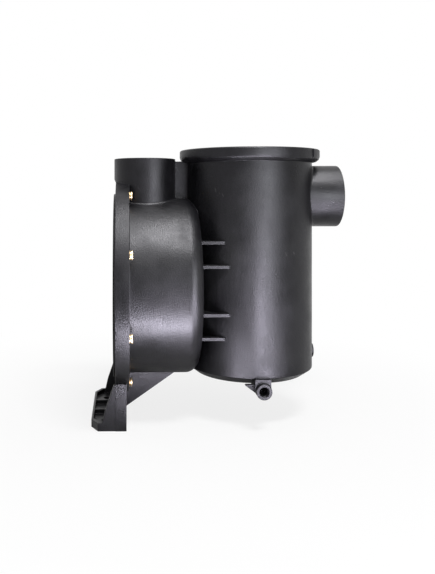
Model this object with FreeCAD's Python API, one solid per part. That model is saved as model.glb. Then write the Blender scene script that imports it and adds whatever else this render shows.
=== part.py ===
import FreeCAD, Part
import math
import os

# Front casing of a small swimming-pool pump: one black moulding that joins a
# strainer pot, a round volute chamber, two pipe sockets, a motor flange and a foot.
# Millimetres. Origin where the shaft axis crosses the back face of the motor flange.
# +X runs along the shaft towards the strainer pot, +Z is up, +Y is away from the drain.

os.makedirs("parts", exist_ok=True)

V = FreeCAD.Vector
X_AXIS = V(1, 0, 0)
Y_AXIS = V(0, 1, 0)
Z_AXIS = V(0, 0, 1)
overlap = 2.0                  # how far joined forms run into each other

# Volute chamber
volute_r = 85.7
volute_front_x = 79.4
volute_edge_round = 12.0
volute_wall = 4.5
eye_r = 24.0                   # suction eye between the pot and the chamber
eye_wall = 5.0
eye_depth = 21.4               # how far the eye's ring reaches into the chamber

# Brass inserts, on a circle just outside the volute's wall
insert_count = 8
insert_first_angle = 22.5
insert_r = 4.3
insert_thread_r = 2.5          # tapping radius of an M6 thread
insert_proud = 2.6             # length that stands out of the flange's front
insert_gap = 5.2               # from the volute's wall to an insert
insert_circle_r = volute_r + insert_gap + insert_r

# Motor flange
flange_thick = 13.0
flange_edge = 3.0              # plastic between an insert and the flange's rim
flange_r = insert_circle_r + insert_r + flange_edge
spigot_gap = 0.9               # from the spigot to an insert
spigot_r = insert_circle_r - insert_r - spigot_gap
spigot_height = 2.0            # raised ring that centres the motor bracket
register_step = 3.3            # seat of the seal plate, a step wider than the chamber
register_r = volute_r - volute_wall + register_step
register_depth = 6.0

# Strainer pot
pot_x = 133.1
pot_r = 61.6
pot_wall = 4.5
pot_bottom_z = -85.6
pot_bevel_high = 6.4           # bevel round the pot's bottom edge
pot_bevel_wide = 9.0
pot_floor = 5.0
rim_overhang = 7.5
rim_r = pot_r + rim_overhang
rim_top_z = 133.2
rim_band = 7.0
rim_under = 5.5                # height of the rim's rounded underside
rim_edge = 1.0
rim_width = 7.3                # flat ring between the rim's edge and the lid seat
lid_seat_r = rim_r - rim_width
lid_seat_depth = 4.0

# Pipe sockets for 50 mm pipe
socket_r = 25.15
socket_depth = 27.0
port_r = 30.4
port_bore_r = 21.5
mouth_chamfer = 1.0
outlet_x = 28.8
outlet_top_z = 124.7
outlet_flat_rise = 4.5         # the pipe is cut level with the flange back up to here
outlet_flat_top_z = flange_r + outlet_flat_rise
outlet_flat_slope = 6.0
inlet_z = 87.9
inlet_end_x = 221.0

# Web and fins
web_thick = 5.0
web_drop = 2.2                 # the web's top edge lies this far below the outlet's mouth
fin_thick = 2.8
fin_rows = (22.3, 44.6)        # heights above and below the shaft axis
fin_backs = (26.1, 30.1)       # from a fin's outer edge to the pot's axis, along X
fin_corner = 3.0

# Foot
foot_half_width = 58.0
foot_front_x = 10.4
foot_motor_x = -22.5
foot_bottom_z = -127.6
foot_floor = 3.5
foot_lip = 7.7
foot_lip_wall = 2.2
foot_wall = 4.5
foot_wall_gap = 0.5            # the front wall stops this far outside the seal plate's seat
foot_corner_x = 6.5            # corner bevel of the base, along X and along Y
foot_corner_y = 13.0
foot_wing_inset = 0.5          # base and wings stand a little inside the leg
foot_wing_drop = 1.0           # the wings start this far below the leg's top
foot_wing_top_x = 1.4          # a wing slopes outwards from here
foot_wing_knee_x = 9.3         # and ends a little steeper, at the base's lip
foot_wing_knee_up = 19.4
foot_wing_end_x = 12.0
foot_rib_y = 15.0
foot_hole_r = 4.5
foot_hole_edge = 14.0          # from the base's motor edge to the holes
foot_hole_y = 36.0
gusset_thick = 5.0
gusset_reach_x = 61.0
gusset_lift = 6.6              # from the foot's sole to the gusset's lowest point

# Drain
drain_offset = 1.3             # the stub lies a little off the pot's axis
drain_x = pot_x + drain_offset
drain_drop = 3.1
drain_z = pot_bottom_z - drain_drop
drain_r = 7.2
drain_bore_r = 4.4             # tapping radius of a G1/8 thread
drain_reach = 10.4             # from the pot's wall to the stub's mouth
drain_front_y = -pot_r - drain_reach
drain_mouth = 5.0              # round part of the stub, before the flat neck
drain_length = 28.0
drain_bore_length = 21.0
drain_neck_rise = 9.9
drain_rib_back = 13.0          # from the mouth to the side rib
drain_rib_reach = 8.0
drain_rib_thick = 4.0
drain_rib_seat = 1.0           # how far the rib runs into the pot and the stub
drain_riser_step = 0.4         # the riser is this much slimmer than the bore, in radius

# Small marks on the pot
boss_r = 7.0
boss_height = 2.4
boss_up = 19.0                 # from the pot's bottom to the middle of the boss
rim_notch_depth = 1.2
rim_notch_from = -65.0         # angles about the pot axis, from +X
rim_notch_to = -38.0


def wire(start, steps):
    """Closed wire from straight steps (point) and arcs (middle point, end point)."""
    edges = []
    here = V(*start)
    for step in steps:
        if isinstance(step[0], tuple):
            middle = V(*step[0])
            end = V(*step[1])
            edges.append(Part.Arc(here, middle, end).toShape())
        else:
            end = V(*step)
            edges.append(Part.makeLine(here, end))
        here = end
    if (here - V(*start)).Length > 1e-6:
        edges.append(Part.makeLine(here, V(*start)))
    return Part.Wire(edges)


def quarter(centre, radius, angle):
    """Point at an angle on a small rounding circle in the plane of two coordinates."""
    a = math.radians(angle)
    return centre[0] + radius * math.cos(a), centre[1] + radius * math.sin(a)


def turned_upright(start, steps, x):
    """Solid of revolution about a vertical axis at x, from an (r, z) outline."""
    def lift(p):
        if isinstance(p[0], tuple):
            return lift(p[0]), lift(p[1])
        return p[0] + x, 0.0, p[1]

    face = Part.Face(wire(lift(start), [lift(s) for s in steps]))
    return face.revolve(V(x, 0, 0), Z_AXIS, 360)


def turned_on_shaft(start, steps):
    """Solid of revolution about the shaft axis, from an (x, r) outline."""
    def lift(p):
        if isinstance(p[0], tuple):
            return lift(p[0]), lift(p[1])
        return p[0], 0.0, p[1]

    face = Part.Face(wire(lift(start), [lift(s) for s in steps]))
    return face.revolve(V(0, 0, 0), X_AXIS, 360)


def round_bar(radius, start, end):
    """Plain cylinder between two points."""
    a = V(*start)
    b = V(*end)
    return Part.makeCylinder(radius, (b - a).Length, a, b - a)


def plate_across(points, thick, y=0.0):
    """Plate of an (x, z) outline, centred on a plane of constant y."""
    path = [V(px, y - thick / 2, pz) for px, pz in points]
    face = Part.Face(Part.makePolygon(path + path[:1]))
    return face.extrude(V(0, thick, 0))


# Strainer pot

def rim_underside(angle):
    """Point on the rounded underside of the rim, from 0 at the band to 90 at the wall."""
    a = math.radians(angle)
    low = rim_top_z - rim_band
    return pot_r + rim_overhang * math.cos(a), low - rim_under * math.sin(a)


def pot_outside():
    r, z = pot_r, pot_bottom_z
    return turned_upright(
        (0, z),
        [(r - pot_bevel_wide, z),
         (r, z + pot_bevel_high),
         rim_underside(90),
         rim_underside(60),
         rim_underside(30),
         rim_underside(0),
         (rim_r, rim_top_z - rim_edge),
         (rim_r - rim_edge, rim_top_z),
         (0, rim_top_z)],
        pot_x)


def pot_hollow():
    r = pot_r - pot_wall
    z = pot_bottom_z + pot_floor
    seat = rim_top_z - lid_seat_depth
    return turned_upright(
        (0, z),
        [(r - pot_bevel_wide, z),
         (r, z + pot_bevel_high),
         (r, seat),
         (lid_seat_r, seat),
         (lid_seat_r, rim_top_z + overlap),
         (0, rim_top_z + overlap)],
        pot_x)


def rim_notch():
    """Shallow flat left in the edge of the rim, an index for the lid."""
    height = rim_band + rim_under
    ring = Part.makeCylinder(rim_r + overlap, height, V(pot_x, 0, rim_top_z - height),
                             Z_AXIS, rim_notch_to - rim_notch_from)
    ring.rotate(V(pot_x, 0, 0), Z_AXIS, rim_notch_from)
    core = Part.makeCylinder(rim_r - rim_notch_depth, rim_top_z, V(pot_x, 0, 0))
    return ring.cut(core)


def pot_boss():
    return round_bar(
        boss_r,
        (pot_x + pot_r - overlap, 0, pot_bottom_z + boss_up),
        (pot_x + pot_r + boss_height, 0, pot_bottom_z + boss_up))


# Volute chamber and motor flange

def volute_outside():
    r, e = volute_r, volute_edge_round
    knee = (volute_front_x - e, r - e)
    return turned_on_shaft(
        (flange_thick - overlap, 0),
        [(volute_front_x, 0),
         (volute_front_x, r - e),
         (quarter(knee, e, 45), (volute_front_x - e, r)),
         (flange_thick - overlap, r)])


def volute_hollow():
    """Chamber with the seal plate's seat at its mouth; the pot's wall bulges into it."""
    r = volute_r - volute_wall
    e = volute_edge_round - volute_wall
    front = volute_front_x - volute_wall
    hollow = turned_on_shaft(
        (-spigot_height - overlap, 0),
        [(front, 0),
         (front, r - e),
         (front - e, r),
         (register_depth, r),
         (register_depth, register_r),
         (-spigot_height - overlap, register_r)])
    eye_ring = round_bar(
        eye_r + eye_wall,
        (volute_front_x - eye_depth, 0, 0),
        (volute_front_x, 0, 0))
    return hollow.cut(pot_outside()).cut(eye_ring)


def flange():
    disc = round_bar(flange_r, (0, 0, 0), (flange_thick, 0, 0))
    spigot = round_bar(spigot_r, (-spigot_height, 0, 0), (overlap, 0, 0))
    return disc.fuse(spigot)


def insert_places():
    """Centre of each insert on the back face of the flange."""
    places = []
    for k in range(insert_count):
        angle = insert_first_angle + k * 360.0 / insert_count
        a = math.radians(angle)
        places.append(V(0, insert_circle_r * math.cos(a), insert_circle_r * math.sin(a)))
    return places


def insert_seats():
    return [Part.makeCylinder(insert_r, flange_thick, p, X_AXIS) for p in insert_places()]


# Pipe sockets

def outlet_outside():
    """Upright pipe; its motor side is pared level with the back of the flange."""
    pipe = round_bar(port_r, (outlet_x, 0, 0), (outlet_x, 0, outlet_top_z))
    low = outlet_flat_top_z - outlet_flat_slope
    pared = plate_across(
        [(0, -overlap),
         (0, low),
         (outlet_x - port_r - overlap, outlet_flat_top_z + overlap),
         (outlet_x - port_r - overlap, -overlap)],
        3 * port_r)
    return pipe.cut(pared)


def socket_bore(length):
    """Stepped bore of a pipe socket, mouth at the origin, running down -Z."""
    c = mouth_chamfer
    profile = wire(
        (0, 0, overlap),
        [(socket_r + c, 0, overlap),
         (socket_r + c, 0, 0),
         (socket_r, 0, -c),
         (socket_r, 0, -socket_depth),
         (port_bore_r, 0, -socket_depth),
         (port_bore_r, 0, -length),
         (0, 0, -length)])
    return Part.Face(profile).revolve(V(0, 0, 0), Z_AXIS, 360)


def outlet_bore():
    bore = socket_bore(outlet_top_z - volute_r + volute_wall + 3 * overlap)
    bore.translate(V(outlet_x, 0, outlet_top_z))
    return bore


def inlet_outside():
    """Level pipe out of the pot's far side."""
    return round_bar(port_r, (pot_x, 0, inlet_z), (inlet_end_x, 0, inlet_z))


def inlet_bore():
    bore = socket_bore(inlet_end_x - pot_x - pot_r + 5 * pot_wall)
    bore.rotate(V(0, 0, 0), Y_AXIS, 90)
    bore.translate(V(inlet_end_x, 0, inlet_z))
    return bore


# Web, gusset and fins

def pipe_web():
    """Upright plate that ties the outlet pipe to the pot."""
    low = volute_r - volute_wall
    top = outlet_top_z - web_drop
    return plate_across(
        [(outlet_x + socket_r + overlap, low),
         (pot_x - pot_r + overlap, low),
         (pot_x - pot_r + overlap, top),
         (outlet_x + socket_r + overlap, top)],
        web_thick)


def foot_gusset():
    """Triangular plate under the volute that stiffens the foot."""
    low = foot_bottom_z + gusset_lift
    return plate_across(
        [(foot_front_x - overlap, -volute_r + overlap),
         (gusset_reach_x, -volute_r + overlap),
         (gusset_reach_x, -volute_r),
         (foot_front_x, low),
         (foot_front_x - overlap, low)],
        gusset_thick)


def fin(z, back):
    """Level fin from the volute's front to the pot, as wide as the pot where it ends."""
    c = fin_corner
    x0 = volute_front_x - volute_wall / 2
    low = z - fin_thick / 2
    w = math.sqrt(pot_r ** 2 - back ** 2)
    end_x = pot_x - back
    near = quarter((end_x - c, -w + c), c, -45)
    far = quarter((end_x - c, w - c), c, 45)
    outline = wire(
        (x0, -w, low),
        [(end_x - c, -w, low),
         ((near[0], near[1], low), (end_x, -w + c, low)),
         (end_x, w - c, low),
         ((far[0], far[1], low), (end_x - c, w, low)),
         (x0, w, low)])
    return Part.Face(outline).extrude(V(0, 0, fin_thick))


def fins():
    out = []
    for height, back in zip(fin_rows, fin_backs):
        for side in (-1, 1):
            out.append(fin(side * height, back))
    return out


# Foot

def foot_plan(inset, height):
    """Base outline with two bevelled corners on the motor side."""
    w = foot_half_width - foot_wing_inset - inset
    back = foot_motor_x + inset
    front = foot_front_x - foot_wall / 2
    points = [(front, -w),
              (back + foot_corner_x, -w),
              (back, -w + foot_corner_y),
              (back, w - foot_corner_y),
              (back + foot_corner_x, w),
              (front, w)]
    path = [V(px, py, foot_bottom_z) for px, py in points]
    return Part.Face(Part.makePolygon(path + path[:1])).extrude(V(0, 0, height))


def foot_base():
    """Tray-like base: thin floor, low lip round it and two low ribs across it."""
    floor = foot_plan(0, foot_floor)
    lip = foot_plan(0, foot_lip).cut(foot_plan(foot_lip_wall, foot_lip))
    base = floor.fuse(lip)
    rib_from = foot_motor_x + foot_lip_wall / 2
    rib_to = foot_front_x - foot_lip_wall / 2
    for y in (-foot_rib_y, foot_rib_y):
        base = base.fuse(plate_across(
            [(rib_from, foot_bottom_z),
             (rib_to, foot_bottom_z),
             (rib_to, foot_bottom_z + foot_lip),
             (rib_from, foot_bottom_z + foot_lip)],
            foot_lip_wall, y))
    hole_x = foot_motor_x + foot_hole_edge
    for y in (-foot_hole_y, foot_hole_y):
        base = base.cut(round_bar(
            foot_hole_r,
            (hole_x, y, foot_bottom_z - overlap),
            (hole_x, y, foot_bottom_z + foot_lip + overlap)))
    return base


def foot_leg():
    """Front wall under the flange with a side wall and a sloping wing at each end."""
    top = -math.sqrt(flange_r ** 2 - foot_half_width ** 2)
    inner = register_r + foot_wall_gap
    wall = Part.makeBox(
        foot_wall, 2 * foot_half_width, -inner - foot_bottom_z,
        V(foot_front_x - foot_wall, -foot_half_width, foot_bottom_z))
    leg = wall
    for side in (-1, 1):
        leg = leg.fuse(plate_across(
            [(0, top + 2 * overlap),
             (foot_front_x, top + 2 * overlap),
             (foot_front_x, foot_bottom_z),
             (0, foot_bottom_z)],
            foot_wall, side * (foot_half_width - foot_wall / 2)))
        leg = leg.fuse(plate_across(
            [(foot_wall, top - foot_wing_drop),
             (-foot_wing_top_x, top - foot_wing_drop),
             (-foot_wing_knee_x, foot_bottom_z + foot_wing_knee_up),
             (-foot_wing_end_x, foot_bottom_z + foot_lip),
             (-foot_wing_end_x, foot_bottom_z),
             (foot_wall, foot_bottom_z)],
            foot_wall, side * (foot_half_width - foot_wing_inset - foot_wall / 2)))
    return leg


# Drain

def drain_outside():
    """Round stub on a flat neck under the pot's near side, with a small side rib."""
    ring = round_bar(drain_r, (drain_x, drain_front_y, drain_z),
                     (drain_x, drain_front_y + drain_length, drain_z))
    neck = Part.makeBox(
        2 * drain_r, drain_length - drain_mouth, drain_neck_rise,
        V(drain_x - drain_r, drain_front_y + drain_mouth, drain_z))
    rib_y = drain_front_y + drain_rib_back
    rib = plate_across(
        [(drain_x - drain_r - drain_rib_reach, pot_bottom_z + drain_rib_seat),
         (drain_x, pot_bottom_z + drain_rib_seat),
         (drain_x, drain_z - drain_r / 2),
         (drain_x - drain_r + drain_rib_seat, drain_z - drain_r / 2),
         (drain_x - drain_r - drain_rib_reach, pot_bottom_z)],
        drain_rib_thick, rib_y)
    return ring.fuse(neck).fuse(rib)


def drain_bore():
    """Tapped hole that turns up into the bottom of the pot."""
    turn_y = drain_front_y + drain_bore_length
    level = round_bar(drain_bore_r, (drain_x, drain_front_y - overlap, drain_z),
                      (drain_x, turn_y, drain_z))
    riser = round_bar(drain_bore_r - drain_riser_step, (drain_x, turn_y, drain_z),
                      (drain_x, turn_y, pot_bottom_z + pot_floor + pot_bevel_high))
    return level.fuse(riser)


# Casing

def pump_casing():
    body = volute_outside().fuse(
        [flange(), outlet_outside(), pipe_web(), pot_outside(), inlet_outside(), pot_boss(),
         foot_gusset(), foot_base(), foot_leg(), drain_outside()] + fins())
    eye = round_bar(eye_r, (volute_front_x - eye_depth - overlap, 0, 0), (pot_x - pot_r / 2, 0, 0))
    body = body.cut([volute_hollow(), pot_hollow(), eye, outlet_bore(), inlet_bore(), drain_bore()])
    body = body.cut([rim_notch()] + insert_seats())
    return body.removeSplitter()


# Brass inserts

def brass_insert(place):
    """Tapped bush, flush with the flange's back and standing proud of its front."""
    bush = Part.makeCylinder(insert_r, flange_thick + insert_proud, place, X_AXIS)
    return bush.cut(Part.makeCylinder(insert_thread_r, flange_thick + insert_proud, place, X_AXIS))


def brass_inserts():
    return Part.makeCompound([brass_insert(p) for p in insert_places()])


nodes = {"pump_casing": pump_casing(), "brass_inserts": brass_inserts()}
for name, shape in nodes.items():
    shape.exportStep("parts/" + name + ".step")
    box = shape.BoundBox
    print(name, "solids", len(shape.Solids), "valid", shape.isValid(),
          "volume", round(shape.Volume), "box", box)
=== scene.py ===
# %% [markdown]
# # A pool pump's front casing, dressed from its solids
#
# The object is one black moulding: a strainer pot on the right, a round volute chamber on
# the left, two pipe stubs, a motor flange with brass bushes and a foot. Its solids come
# packed from the workshop as a frame. This lesson copies them, softens their edges as a
# mould does, gives them a finish, and sets a plain studio round them.

# %% Load the frame
import math

import bmesh
import bpy
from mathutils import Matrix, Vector
from mathutils.geometry import intersect_line_line_2d, intersect_point_line


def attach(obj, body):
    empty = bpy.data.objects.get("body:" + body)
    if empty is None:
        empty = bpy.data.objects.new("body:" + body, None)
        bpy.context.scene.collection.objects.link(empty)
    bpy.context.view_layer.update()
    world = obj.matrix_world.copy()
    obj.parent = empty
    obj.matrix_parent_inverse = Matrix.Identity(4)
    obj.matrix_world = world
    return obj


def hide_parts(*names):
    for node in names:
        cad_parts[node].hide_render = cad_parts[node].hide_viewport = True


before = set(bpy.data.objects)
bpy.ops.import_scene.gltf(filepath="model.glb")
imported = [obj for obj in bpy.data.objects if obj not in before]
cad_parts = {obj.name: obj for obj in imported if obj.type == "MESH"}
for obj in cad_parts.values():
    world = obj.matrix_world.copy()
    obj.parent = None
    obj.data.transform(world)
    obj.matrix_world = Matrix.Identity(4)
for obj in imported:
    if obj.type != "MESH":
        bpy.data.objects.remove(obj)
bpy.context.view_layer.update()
print("pieces in the frame:", sorted(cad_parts))

# %% [markdown]
# Lengths in the lesson are metres. The workshop's sizes are in millimetres, so one small
# helper turns them, and the few sizes that the dressing needs are named once here.

# %% Sizes shared with the workshop
MM = 0.001
X, Y, Z = Vector((1, 0, 0)), Vector((0, 1, 0)), Vector((0, 0, 1))


def mm(*values):
    """Millimetres as metres, one number or a vector."""
    scaled = [v * MM for v in values]
    return scaled[0] if len(scaled) == 1 else Vector(scaled)


pot_x, pot_r = mm(133.1), mm(61.6)
chamber_r = mm(85.7)
outlet_x, inlet_z, port_r = mm(28.8), mm(87.9), mm(30.4)
drain_x, drain_z, drain_mouth_y = mm(134.4), mm(-88.7), mm(-72.0)
foot_z = mm(-127.6)
print("foot stands at", round(foot_z, 4))

# %% [markdown]
# A material is a web of nodes, and most of its maths is plain arithmetic. Writing that as
# Python expressions is easier to read than wiring boxes, so one small class wraps a socket
# and turns `a * b + c` into Math nodes. Everything else goes through one method, `node`.


# %% A socket that does arithmetic
class Field:
    """An output socket in a node tree, with the usual operators."""

    def __init__(self, tree, socket):
        self.tree = tree
        self.socket = socket

    def node(self, kind, settings=None, values=None, out=0):
        """Any node: its settings first, then the values or links of its sockets."""
        made = self.tree.nodes.new(kind)
        for key, value in (settings or {}).items():
            setattr(made, key, value)
        for key, value in (values or {}).items():
            socket = made.inputs[key]
            if isinstance(value, Field):
                self.tree.links.new(value.socket, socket)
            else:
                socket.default_value = value
        return Field(self.tree, made.outputs[out])

    def maths(self, operation, a, b):
        return self.node("ShaderNodeMath", {"operation": operation}, {0: a, 1: b})

    def __add__(self, other):
        return self.maths("ADD", self, other)

    __radd__ = __add__

    def __sub__(self, other):
        return self.maths("SUBTRACT", self, other)

    def __rsub__(self, other):
        return self.maths("SUBTRACT", other, self)

    def __mul__(self, other):
        return self.maths("MULTIPLY", self, other)

    __rmul__ = __mul__

    def ease(self, low, high):
        """0 below low, 1 above high, smooth in between."""
        return self.node("ShaderNodeMapRange", {"interpolation_type": "SMOOTHSTEP"},
                         {"Value": self, "From Min": low, "From Max": high})

    def clamp(self):
        return self.node("ShaderNodeClamp", {}, {"Value": self})


def blank_material(name):
    """A new material with only its output, and a Field to start from."""
    material = bpy.data.materials.new(name)
    material.use_nodes = True
    material.node_tree.nodes.clear()
    return material, Field(material.node_tree, None)


def finish_material(start, shader):
    output = start.tree.nodes.new("ShaderNodeOutputMaterial")
    start.tree.links.new(shader.socket, output.inputs["Surface"])


def place_on(start):
    """The place on the object, in metres."""
    return start.node("ShaderNodeTexCoord", out=3)


def mix_colours(start, factor, a, b):
    """From colour a at factor 0 to colour b at 1; each a field or red, green and blue."""
    a, b = [c if isinstance(c, Field) else (*c, 1.0) for c in (a, b)]
    return start.node("ShaderNodeMix", {"data_type": "RGBA"}, {"Factor": factor, "A": a, "B": b},
                      out=2)


print("material helpers ready")

# %% [markdown]
# The moulding is black right through. Up close its skin is a fine pebbled grain with a
# cloudy sheen, and handling has left faint upright wipe marks, a little dust, thin slanting
# scratches and a few light specks. It could be painted on, but a pattern would then stop at
# each edge. Noise read at the place on the object runs on over every edge: the fine ones feed
# a Bump node, the slower ones the sheen and the tint.


# %% Black plastic
def noise(start, where, scale, detail=2.0, roughness=0.5):
    return start.node("ShaderNodeTexNoise", {},
                      {"Vector": where, "Scale": scale, "Detail": detail,
                       "Roughness": roughness})


def black_moulding():
    material, start = blank_material("black moulding")
    where = place_on(start)
    upright = start.node("ShaderNodeVectorMath", {"operation": "MULTIPLY"},
                         {0: where, 1: (1.0, 1.0, 0.22)})
    grain = noise(start, where, 1500.0, 2.0, 0.6)
    pebble = noise(start, where, 980.0, 2.0, 0.5)
    cloud = noise(start, where, 26.0, 4.0, 0.62)
    wipe = noise(start, upright, 70.0, 3.0, 0.55)
    dust = noise(start, where, 14.0, 3.0, 0.6).ease(0.48, 0.72)
    slanted = start.node("ShaderNodeVectorRotate", {"rotation_type": "Y_AXIS"},
                         {"Vector": where, "Angle": 0.55})
    along = start.node("ShaderNodeVectorMath", {"operation": "MULTIPLY"},
                       {0: slanted, 1: (1.0, 1.0, 0.08)})
    scratch = noise(start, along, 260.0, 2.0, 0.5).ease(0.735, 0.775)
    fleck = noise(start, where, 330.0, 3.0, 0.7).ease(0.735, 0.76)
    sheen = 0.40 + 0.46 * (cloud - 0.5) + 0.26 * (wipe - 0.5) + 0.20 * (pebble - 0.5)
    shade = (0.45 * cloud + 0.25 * wipe + 0.30 * pebble).ease(0.36, 0.66)
    deep_black, plain_black = (0.0025, 0.0024, 0.0032), (0.0060, 0.0058, 0.0074)
    dust_grey, scuff_grey = (0.0115, 0.0116, 0.0122), (0.10, 0.10, 0.105)
    tint = mix_colours(start, shade, deep_black, plain_black)
    dusty = mix_colours(start, dust, tint, dust_grey)
    scuffed = mix_colours(start, (fleck + 0.35 * scratch).clamp(), dusty, scuff_grey)
    bump = start.node("ShaderNodeBump", {}, {"Height": pebble + 0.4 * grain, "Strength": 0.5,
                                             "Distance": 0.00030})
    shader = start.node("ShaderNodeBsdfPrincipled", {},
                        {"Base Color": scuffed, "Roughness": sheen, "Normal": bump, "IOR": 1.45,
                         "Specular IOR Level": 0.30, "Specular Tint": (0.96, 0.95, 1.0, 1)})
    finish_material(start, shader)
    return material


# %% [markdown]
# The bushes are turned from brass bar. Fine rings from the tool run round them, so a wave
# along the shaft drives the bump, and a slow noise dulls the colour in places.


# %% Turned brass
def turned_brass():
    material, start = blank_material("turned brass")
    where = place_on(start)
    stain = noise(start, where, 420.0, 3.0)
    rings = start.node("ShaderNodeTexWave", {"wave_type": "BANDS", "bands_direction": "X"},
                       {"Vector": where, "Scale": 900.0, "Distortion": 0.6})
    bright_brass, dull_brass = (0.62, 0.49, 0.31), (0.42, 0.30, 0.16)
    colour = mix_colours(start, stain.ease(0.35, 0.7), bright_brass, dull_brass)
    bump = start.node("ShaderNodeBump", {},
                      {"Height": rings, "Strength": 0.3, "Distance": 0.00005})
    shader = start.node("ShaderNodeBsdfPrincipled", {},
                        {"Base Color": colour, "Roughness": 0.30 + 0.2 * stain, "Metallic": 1.0,
                         "Normal": bump})
    finish_material(start, shader)
    return material


plastic = black_moulding()
brass = turned_brass()
print("materials:", plastic.name, "and", brass.name)

# %% [markdown]
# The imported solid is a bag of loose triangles. A copy of it is merged into one closed skin
# and its flat areas become single faces again. A narrow two-step bevel then rounds every
# edge, as a mould's edges are rounded, so each one catches a thin line of light. The bevel
# gives its new faces a second material slot for a moment, so that the next step knows them.


# %% One rounded skin
def link(name, mesh):
    """A new object that shows a mesh."""
    piece = bpy.data.objects.new(name, mesh)
    bpy.context.scene.collection.objects.link(piece)
    return piece


def merged_copy(node, name):
    """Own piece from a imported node: one closed skin, flat areas as single faces."""
    skin = bmesh.new()
    skin.from_mesh(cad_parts[node].data)
    bmesh.ops.remove_doubles(skin, verts=skin.verts, dist=mm(0.01))
    bmesh.ops.dissolve_limit(skin, angle_limit=math.radians(0.05),
                             verts=skin.verts, edges=skin.edges)
    mesh = bpy.data.meshes.new(name)
    skin.to_mesh(mesh)
    skin.free()
    return link(name, mesh)


def applied(piece):
    """The piece's modifiers made part of its mesh."""
    graph = bpy.context.evaluated_depsgraph_get()
    mesh = bpy.data.meshes.new_from_object(piece.evaluated_get(graph), depsgraph=graph)
    piece.modifiers.clear()
    old = piece.data
    piece.data = mesh
    bpy.data.meshes.remove(old)
    return piece


def triangles(piece):
    piece.data.calc_loop_triangles()
    return len(piece.data.loop_triangles)


def open_edges(piece):
    skin = bmesh.new()
    skin.from_mesh(piece.data)
    count = sum(1 for edge in skin.edges if not edge.is_manifold)
    skin.free()
    return count


casing = merged_copy("pump_casing", "casing_moulding")
casing.data.materials.clear()
casing.data.materials.append(plastic)
casing.data.materials.append(plastic)
for polygon in casing.data.polygons:
    polygon.material_index = 0
print("casing before its edges are rounded:", triangles(casing), "triangles")

# %% [markdown]
# A bevel of one width would run into itself where two edges lie close together, such as a
# bush's seat and the spigot, and a folded face can then cover a hole. Blender's own clamp
# would narrow every edge alike. So the bevel is tried, the faces that fold over themselves
# are found, and only the edges next to them get half the width, then a quarter, then none,
# until no fold larger than the limit is left or the tries run out.

# %% Rounded edges that keep clear of each other
edge_round, narrow_within = mm(0.55), mm(0.9)
sharp_from = math.radians(30)
fold_area = 0.3 * MM ** 2
most_tries, least_share = 16, 0.3


def fold_places(mesh, polygon):
    """Where the outline of a flat face crosses itself, or else its corners."""
    side = polygon.normal.orthogonal().normalized()
    up = polygon.normal.cross(side)
    spots = [mesh.vertices[i].co.copy() for i in polygon.vertices]
    flat = [Vector((p.dot(side), p.dot(up))) for p in spots]
    count = len(flat)
    places = []
    for i in range(count):
        for k in range(i + 2, count - (i == 0)):
            crossing = intersect_line_line_2d(flat[i], flat[(i + 1) % count],
                                              flat[k], flat[(k + 1) % count])
            if crossing:
                height = spots[0].dot(polygon.normal)
                places.append(side * crossing.x + up * crossing.y + polygon.normal * height)
    return places or spots


def folds(mesh):
    """Places on faces whose triangles cover more than the face's own area."""
    mesh.calc_loop_triangles()
    covered = [0.0] * len(mesh.polygons)
    for part in mesh.loop_triangles:
        covered[part.polygon_index] += part.area
    folded = [p for p in mesh.polygons if covered[p.index] - p.area > fold_area]
    return [place for p in folded for place in fold_places(mesh, p)]


def sharp_edges(mesh):
    """The mesh's own sharp edges, with their ends."""
    skin = bmesh.new()
    skin.from_mesh(mesh)
    found = {edge.index: (edge.verts[0].co.copy(), edge.verts[1].co.copy())
             for edge in skin.edges if edge.calc_face_angle(0.0) > sharp_from}
    skin.free()
    return found


# %% The bevel, tried until it fits
def round_edges(piece):
    """Round the sharp edges, each as widely as its surroundings allow."""
    ends = sharp_edges(piece.data)
    share = {index: 1.0 for index in ends}
    weight = piece.data.attributes.new("bevel_weight_edge", "FLOAT", "EDGE")
    rounding = piece.modifiers.new("mould edges", "BEVEL")
    rounding.width = edge_round
    rounding.segments = 2
    rounding.limit_method = "WEIGHT"
    rounding.use_clamp_overlap = False
    rounding.material = 1
    for attempt in range(most_tries):
        for index, value in share.items():
            weight.data[index].value = value
        piece.data.update()
        graph = bpy.context.evaluated_depsgraph_get()
        trial = bpy.data.meshes.new_from_object(piece.evaluated_get(graph), depsgraph=graph)
        places = folds(trial)
        bpy.data.meshes.remove(trial)
        if not places:
            break
        for place in places:
            for index, (start, end) in ends.items():
                nearest, along = intersect_point_line(place, start, end)
                nearest = start if along < 0 else end if along > 1 else nearest
                if share[index] and (nearest - place).length < narrow_within:
                    share[index] = share[index] / 2 if share[index] > least_share else 0.0
    narrowed = sum(1 for value in share.values() if value < 1)
    print("bevel tried", attempt + 1, "times,", narrowed, "of", len(share), "edges narrowed")
    applied(piece)


round_edges(casing)
print("casing:", triangles(casing), "triangles,", open_edges(casing), "open edges,",
      len(folds(casing.data)), "folds")

# %% [markdown]
# Most of the casing is turned: pot, chamber, flange, pipes and drain are round about some
# axis. Blender guesses the shading of such a wall from its long thin triangles, and a faint
# stripe can show. On a turned wall the true normal never leans sideways, so each corner's
# normal loses its part along the turning direction. The rounded edges then take their
# normals from the walls they join, which leaves the walls flat and true up to the rounding.

# %% True normals on turned walls
# Each wall: a point on its axis, the axis, the least and the greatest distance from it.
turned_walls = [
    (Vector((pot_x, 0, 0)), Z, mm(50), mm(69.2)),
    (Vector((0, 0, 0)), X, mm(23), mm(102.6)),
    (Vector((outlet_x, 0, 0)), Z, mm(21), mm(31.5)),
    (Vector((0, 0, inlet_z)), X, mm(21), mm(38)),
    (Vector((drain_x, 0, drain_z)), Y, mm(3.9), mm(7.3))]
smooth_within = math.cos(math.radians(21))
sideways_lean = 0.2


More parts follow.
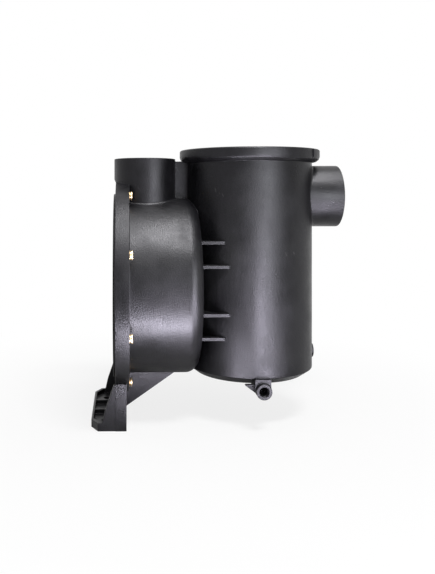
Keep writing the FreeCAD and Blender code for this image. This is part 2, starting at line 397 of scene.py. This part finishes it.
def turning_direction(wall, place):
    """Direction in which a turned wall runs round its axis, and the distance to the axis."""
    point, axis, least, most = wall
    away = place - point
    away -= away.dot(axis) * axis
    return axis.cross(away).normalized(), away.length


def wall_of(normal, places):
    """The turned wall that a face lies on, if any."""
    for wall in turned_walls:
        fits = True
        for place in places:
            along, radius = turning_direction(wall, place)
            if not wall[2] <= radius <= wall[3] or abs(normal.dot(along)) > sideways_lean:
                fits = False
                break
        if fits:
            return wall
    return None


def straightened(normal, place, wall):
    if wall is None:
        return normal
    along, _ = turning_direction(wall, place)
    return (normal - normal.dot(along) * along).normalized()


# %% The normal at each corner
def corner_angle(places, i):
    """Angle of a face at one of its corners."""
    here = places[i]
    return (places[i - 1] - here).angle(places[(i + 1) % len(places)] - here, 0.0)


def smooth_mean(own, neighbours):
    """Mean normal of those neighbours at a corner that carry on smoothly from a face."""
    trace = 1e-12      # keeps the face's own normal where no neighbour carries on from it
    total = own * trace
    for normal, weight in neighbours:
        if normal.dot(own) > smooth_within:
            total += normal * weight
    return total.normalized()


def true_normals(piece):
    """Give each corner its true normal; the count is of the faces on turned walls."""
    mesh = piece.data
    spots = [v.co.copy() for v in mesh.vertices]
    walls_at = [[] for _ in spots]
    edge_sum = [Vector() for _ in spots]
    for polygon in mesh.polygons:
        places = [spots[i] for i in polygon.vertices]
        for i, vertex in enumerate(polygon.vertices):
            weight = corner_angle(places, i) * polygon.area
            if polygon.material_index:
                edge_sum[vertex] += polygon.normal * weight
            else:
                walls_at[vertex].append((polygon.normal.copy(), weight))
    normals = [None] * len(mesh.loops)
    choices = [[] for _ in spots]
    turned = 0
    for polygon in mesh.polygons:
        if polygon.material_index:
            continue
        wall = wall_of(polygon.normal, [spots[i] for i in polygon.vertices])
        turned += wall is not None
        for loop, vertex in zip(polygon.loop_indices, polygon.vertices):
            normal = smooth_mean(polygon.normal, walls_at[vertex])
            normals[loop] = straightened(normal, spots[vertex], wall)
            choices[vertex].append(normals[loop])
    for polygon in mesh.polygons:
        if not polygon.material_index:
            continue
        for loop, vertex in zip(polygon.loop_indices, polygon.vertices):
            if choices[vertex]:
                normals[loop] = max(choices[vertex], key=polygon.normal.dot)
            else:
                normals[loop] = edge_sum[vertex].normalized()
    for polygon in mesh.polygons:
        polygon.use_smooth = True
        polygon.material_index = 0
    mesh.materials.pop(index=1)
    mesh.normals_split_custom_set(normals)
    return turned


# %% The casing's normals
print("faces on turned walls:", true_normals(casing))
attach(casing, "root")
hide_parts("pump_casing")

# %% [markdown]
# Where a pipe grows out of the round chamber or the pot, the mould leaves a soft hollow
# fillet, and in strong light it shows as a bright curved line. A bevel can't reach that
# size there. So a wedge is laid round each joint: its visible side is an arc that touches the
# pipe on one side and the wall on the other, and its back corner lies inside the wall.


# %% Fillets at the pipes' roots
wedge_in, wedge_down, skin_gap = mm(1.0), mm(1.2), mm(0.04)
arc_steps = 6


def fillet_section(turn, size, joint):
    """Points of the wedge in the plane that holds the pipe's axis, at one angle round it."""
    origin, side_way, pipe_way, wall_r = joint
    out = side_way * math.cos(turn) + Y * math.sin(turn)
    base = math.sqrt(wall_r ** 2 - (port_r * out.y) ** 2)
    slope = -port_r * out.y ** 2 / base
    steep = math.hypot(1, slope)
    centre = (port_r + size, base + slope * size + size * steep)
    last = math.atan2(-1, slope)
    if last < 0:
        last += 2 * math.pi
    sunk = size + skin_gap
    flat = []
    for k in range(arc_steps + 1):
        angle = math.pi + (last - math.pi) * k / arc_steps
        flat.append((centre[0] + sunk * math.cos(angle), centre[1] + sunk * math.sin(angle)))
    flat.append((port_r - wedge_in, base - wedge_down))
    return [origin + out * away + pipe_way * height for away, height in flat]


def swept(name, sections, closed):
    """Closed skin through a row of sections, as a loop or with an end at each side."""
    count = len(sections[0])
    points = [p for section in sections for p in section]
    faces = []
    for s in range(len(sections) - (not closed)):
        here, following = s * count, (s + 1) % len(sections) * count
        for k in range(count):
            n = (k + 1) % count
            faces.append((here + k, here + n, following + n, following + k))
    if not closed:
        faces.append(tuple(range(count - 1, -1, -1)))
        faces.append(tuple(range((len(sections) - 1) * count, len(sections) * count)))
    mesh = bpy.data.meshes.new(name)
    mesh.from_pydata(points, [], faces)
    skin = bmesh.new()
    skin.from_mesh(mesh)
    bmesh.ops.recalc_face_normals(skin, faces=skin.faces)
    skin.to_mesh(mesh)
    skin.free()
    return mesh


# %% The two fillets
def root_fillet(name, joint, size, reach, count):
    """One fillet piece; reach is how far it goes round the pipe, each way."""
    closed = reach >= 180
    last = count if closed else count - 1
    turns = [math.radians(reach) * (2 * k / last - 1) for k in range(count)]
    piece = link(name, swept(name, [fillet_section(t, size, joint) for t in turns], closed))
    piece.data.shade_smooth()
    piece.data.set_sharp_from_angle(angle=math.radians(35))
    piece.data.materials.append(plastic)
    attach(piece, "root")
    print(name, triangles(piece), "triangles,", open_edges(piece), "open edges")


root_fillet("outlet_root_fillet", (Vector((outlet_x, 0, 0)), X, Z, chamber_r), mm(2.4), 140, 121)
root_fillet("inlet_root_fillet", (Vector((pot_x, 0, inlet_z)), Z, X, pot_r), mm(2.0), 180, 140)

# %% [markdown]
# The drain stub is tapped for a plug, and each brass bush for a screw. A real thread is one
# long helix, but at this size a stack of rings looks the same and stays a simple turned
# outline. So one helper turns any closed outline about an axis, and the thread is a list of
# crests and roots in that outline.


# %% A turned ring and a tapped bore
knurl_depth = mm(0.22)


def turned_ring(name, outline, point, axis, side, segments, knurled=()):
    """Closed ring from an outline of (along, radius); knurled rows get fine ridges."""
    other = axis.cross(side)
    skin = bmesh.new()
    rows = []
    for i, (along, radius) in enumerate(outline):
        row = []
        for k in range(segments):
            turn = 2 * math.pi * k / segments
            r = radius - (knurl_depth if i in knurled and k % 2 else 0.0)
            place = point + axis * along + (side * math.cos(turn) + other * math.sin(turn)) * r
            row.append(skin.verts.new(place))
        rows.append(row)
    for i, row in enumerate(rows):
        following = rows[(i + 1) % len(rows)]
        for k in range(segments):
            n = (k + 1) % segments
            skin.faces.new((row[k], row[n], following[n], following[k]))
    bmesh.ops.recalc_face_normals(skin, faces=skin.faces)
    mesh = bpy.data.meshes.new(name)
    skin.to_mesh(mesh)
    skin.free()
    mesh.shade_smooth()
    mesh.set_sharp_from_angle(angle=math.radians(32))
    return mesh


def thread_rows(start, end, root_r, crest_r, pitch):
    """Roots and crests of a tapped bore, from start to end."""
    count = round(abs(end - start) / pitch)
    step = (end - start) / count
    rows = []
    for k in range(count):
        rows.append((start + step * k, root_r))
        rows.append((start + step * (k + 0.5), crest_r))
    rows.append((end, root_r))
    return rows


# %% The drain's thread
thread_in, thread_out = mm(-59.0), drain_mouth_y + mm(1.2)
thread_root_r, thread_crest_r, thread_pitch = mm(4.41), mm(4.05), mm(0.907)
thread_back_r = mm(5.2)
tapped = thread_rows(thread_out, thread_in, thread_root_r, thread_crest_r, thread_pitch)
tapped += [(thread_in, thread_back_r), (thread_out, thread_back_r)]
drain_thread = link("drain_thread", turned_ring(
    "drain_thread", tapped, Vector((drain_x, 0, drain_z)), Y, Z, 40))
drain_thread.data.materials.append(plastic)
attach(drain_thread, "root")
print("drain thread:", triangles(drain_thread), "triangles,",
      open_edges(drain_thread), "open edges")

# %% [markdown]
# Eight brass bushes are moulded into the flange. Each has three collars with grooves between
# them, so that the plastic grips it. The last collar is knurled and stands out of the
# flange's front, and the other end lies level with its back. They are all the same, so one
# bush is turned and Geometry Nodes set it on a circle: a ring of points, a copy on each
# point, then Realize Instances makes them plain mesh.

# %% One bush
bush_r, bush_end, screw_r = mm(4.3), mm(15.6), mm(2.5)
bush_outline = [
    (mm(0.0), mm(3.15)), (mm(0.0), mm(4.05)), (mm(0.25), bush_r), (mm(5.2), bush_r),
    (mm(5.6), mm(3.5)), (mm(7.4), mm(3.5)), (mm(7.8), bush_r), (mm(13.35), bush_r),
    (mm(13.75), mm(3.35)), (mm(14.45), mm(3.35)), (mm(14.75), bush_r), (mm(15.4), bush_r),
    (bush_end, mm(4.1)), (bush_end, mm(3.15)), (mm(15.1), mm(2.95))]
bush_outline += thread_rows(mm(14.7), mm(0.9), mm(2.95), screw_r, mm(1.0))
bush_outline += [(mm(0.4), mm(2.95))]
bush = link("bush", turned_ring("bush", bush_outline, Vector(), X, Y, 40, knurled=(10, 11)))
print("one bush:", triangles(bush), "triangles")


# %% The bushes on their circle
bush_count, bush_circle_r, first_bush_angle = 8, mm(95.2), math.radians(22.5)


def circle_tree():
    """Geometry Nodes: copies of the incoming mesh on a circle about the shaft."""
    tree = bpy.data.node_groups.new("bushes on a circle", "GeometryNodeTree")
    face = tree.interface
    face.new_socket("Bush", in_out="INPUT", socket_type="NodeSocketGeometry")
    sockets = {}
    for name, kind in (("Count", "NodeSocketInt"), ("Circle radius", "NodeSocketFloat"),
                       ("First angle", "NodeSocketFloat"), ("Material", "NodeSocketMaterial")):
        sockets[name] = face.new_socket(name, in_out="INPUT", socket_type=kind).identifier
    face.new_socket("Ring", in_out="OUTPUT", socket_type="NodeSocketGeometry")
    start = Field(tree, None)
    given = tree.nodes.new("NodeGroupInput")
    bush_in, count, radius, first, material = [Field(tree, given.outputs[i]) for i in range(5)]
    ring = start.node("GeometryNodeMeshCircle", {}, {"Vertices": count, "Radius": radius})
    upright = start.node("GeometryNodeTransform", {}, {"Geometry": ring,
                                                       "Rotation": (0, math.radians(90), 0)})
    swing = start.node("ShaderNodeCombineXYZ", {}, {"X": first})
    turned = start.node("GeometryNodeTransform", {}, {"Geometry": upright, "Rotation": swing})
    copies = start.node("GeometryNodeInstanceOnPoints", {},
                        {"Points": turned, "Instance": bush_in})
    plain = start.node("GeometryNodeRealizeInstances", {}, {"Geometry": copies})
    clad = start.node("GeometryNodeSetMaterial", {}, {"Geometry": plain, "Material": material})
    result = tree.nodes.new("NodeGroupOutput")
    tree.links.new(clad.socket, result.inputs[0])
    return tree, sockets


# %% Eight bushes from one
tree, sockets = circle_tree()
inserts = link("insert_bushes", bush.data.copy())
ring = inserts.modifiers.new("ring", "NODES")
ring.node_group = tree
ring[sockets["Count"]] = bush_count
ring[sockets["Circle radius"]] = bush_circle_r
ring[sockets["First angle"]] = first_bush_angle
ring[sockets["Material"]] = brass
applied(inserts)
bpy.data.objects.remove(bush)
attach(inserts, "root")
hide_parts("brass_inserts")
print("bushes:", triangles(inserts), "triangles,", open_edges(inserts), "open edges")

# %% [markdown]
# The studio is a pale table and a white world. To the camera, and in reflections, the world
# is plain white, but it lights the casing only gently. One softbox, above and in front, gives
# the matt light and the shadow. Black plastic shows its form by what it mirrors, so six cards
# stand round it that only a shiny surface sees: two above draw the upper highlights, two on
# the table and two in front draw the low ones. The table keeps the casing's soft shadow near
# the foot and fades to plain white further out, so that no horizon shows. What the casing
# mirrors of the table close by is its shadowed, matt face, so that the undersides stay dark.


# %% A lamp
def soft_lamp(name, place, target, size, glow, colour=(1, 1, 1), lights_matt=False):
    """Rectangular lamp; glow is how bright its face looks, against 1 for white."""
    light = bpy.data.lights.new(name, "AREA")
    light.shape = "RECTANGLE"
    light.size, light.size_y = size
    light.energy = glow * math.pi * size[0] * size[1]
    light.color = colour
    lamp = bpy.data.objects.new(name, light)
    bpy.context.scene.collection.objects.link(lamp)
    lamp.location = place
    lamp.rotation_euler = (Vector(target) - Vector(place)).to_track_quat("-Z", "Y").to_euler()
    lamp.visible_camera = False
    lamp.visible_diffuse = lights_matt
    return lamp


# %% The table
def seen_directly(start, mirrored=1.0):
    """1 for what the camera shows, mirrored for mirrors and glass, 0 for soft light."""
    path = start.tree.nodes.new("ShaderNodeLightPath")
    camera, mirror, glass = [Field(start.tree, path.outputs[name]) for name in
                             ("Is Camera Ray", "Is Glossy Ray", "Is Transmission Ray")]
    return (camera + (mirror + glass).clamp() * mirrored).clamp()


def pale_table():
    material, start = blank_material("pale table")
    where = place_on(start)
    cloud = noise(start, where, 2.0)
    tone = mix_colours(start, cloud, (0.86, 0.86, 0.86), (0.88, 0.88, 0.88))
    matt = start.node("ShaderNodeBsdfPrincipled", {}, {"Base Color": tone, "Roughness": 0.9})
    white = start.node("ShaderNodeEmission", {}, {"Color": (1, 1, 1, 1), "Strength": 1.0})
    under_casing = (0.08, 0.0, foot_z)
    from_foot = start.node("ShaderNodeVectorMath", {"operation": "DISTANCE"},
                           {0: where, 1: under_casing}, out=1)
    fade = 0.82 + 0.18 * from_foot.ease(0.06, 0.45)
    mirrored_fade = 0.20 + 0.80 * from_foot.ease(0.10, 0.45)
    share = seen_directly(start, mirrored_fade) * fade
    shader = start.node("ShaderNodeMixShader", {}, {0: share, 1: matt, 2: white})
    finish_material(start, shader)
    reach = 6.0
    mesh = bpy.data.meshes.new("table")
    mesh.from_pydata([(-reach, -reach, foot_z), (reach, -reach, foot_z),
                      (reach, reach, foot_z), (-reach, reach, foot_z)], [], [(0, 1, 2, 3)])
    mesh.materials.append(material)
    table = link("table", mesh)
    return table


# %% The world
def white_world(strength):
    """White to the camera and in reflections; strength is how bright its soft light is."""
    world = bpy.data.worlds.new("studio")
    bpy.context.scene.world = world
    world.use_nodes = True
    world.node_tree.nodes.clear()
    start = Field(world.node_tree, None)
    level = seen_directly(start) * (1.0 - strength) + strength
    shader = start.node("ShaderNodeBackground", {}, {"Color": (1, 1, 1, 1), "Strength": level})
    output = start.tree.nodes.new("ShaderNodeOutputWorld")
    start.tree.links.new(shader.socket, output.inputs["Surface"])


# %% The studio set up
# Each lamp: its name, its place and its target in millimetres, its size in metres, its glow.
pale_table()
white_world(0.30)
cool, lilac = (0.95, 0.98, 1.0), (0.92, 0.89, 1.0)
soft_lamp("key softbox", mm(290, -650, 1125), mm(95, 0, 0), (0.50, 0.20), 43, lights_matt=True)
soft_lamp("upper card", mm(210, -520, 1190), mm(95, 0, 0), (0.42, 0.16), 50)
soft_lamp("ceiling", mm(300, -130, 1290), mm(95, 0, 0), (0.50, 0.36), 27)
soft_lamp("table strip", mm(58, -184, -126), mm(58, -184, 100), (0.084, 0.080), 64, lilac)
soft_lamp("table patch", mm(215, -220, -126), mm(215, -220, 100), (0.14, 0.10), 31, lilac)
soft_lamp("front card low", mm(214, -360, -100), mm(139, -61, -70), (0.12, 0.11), 60, lilac)
soft_lamp("front card high", mm(268, -360, 85), mm(100, -40, 85), (0.18, 0.15), 15, cool)
print("lamps placed")

# %% [markdown]
# The camera stands where the photographer's did: level with the inlet pipe, just right of
# the flange, which is why the flange is seen edge on. A sideways lens shift frames the
# casing without turning its upright lines.

# %% Camera
# In the photo's pixels: its size, the point square in front of the camera, the flange's
# back face and the height of the shaft. One pixel is a millimetre at the shaft.
photo_w, photo_h = 435, 574
eye_px = (124.0, 195.0)
flange_px, axis_px = 116.0, 284.0
pixel = MM
eye_distance = mm(687)
turn = math.radians(1.3)
sensor = 36.0

camera = bpy.data.objects.new("camera", bpy.data.cameras.new("camera"))
bpy.context.scene.collection.objects.link(camera)
bpy.context.scene.camera = camera
camera.data.sensor_width = sensor
camera.data.lens = sensor * (eye_distance / pixel) / photo_h
camera.location = ((eye_px[0] - flange_px) * pixel, -eye_distance, (axis_px - eye_px[1]) * pixel)
camera.rotation_euler = (math.radians(90), 0, -turn)
centre_px = eye_px[0] + eye_distance / pixel * math.tan(turn)
camera.data.shift_x = (photo_w / 2 - centre_px) / photo_h
camera.data.shift_y = (eye_px[1] - photo_h / 2) / photo_h
print("lens", round(camera.data.lens, 1), "shift", round(camera.data.shift_x, 3),
      round(camera.data.shift_y, 3))

# %% View settings and last lines
scene = bpy.context.scene
scene.view_settings.view_transform = "Standard"
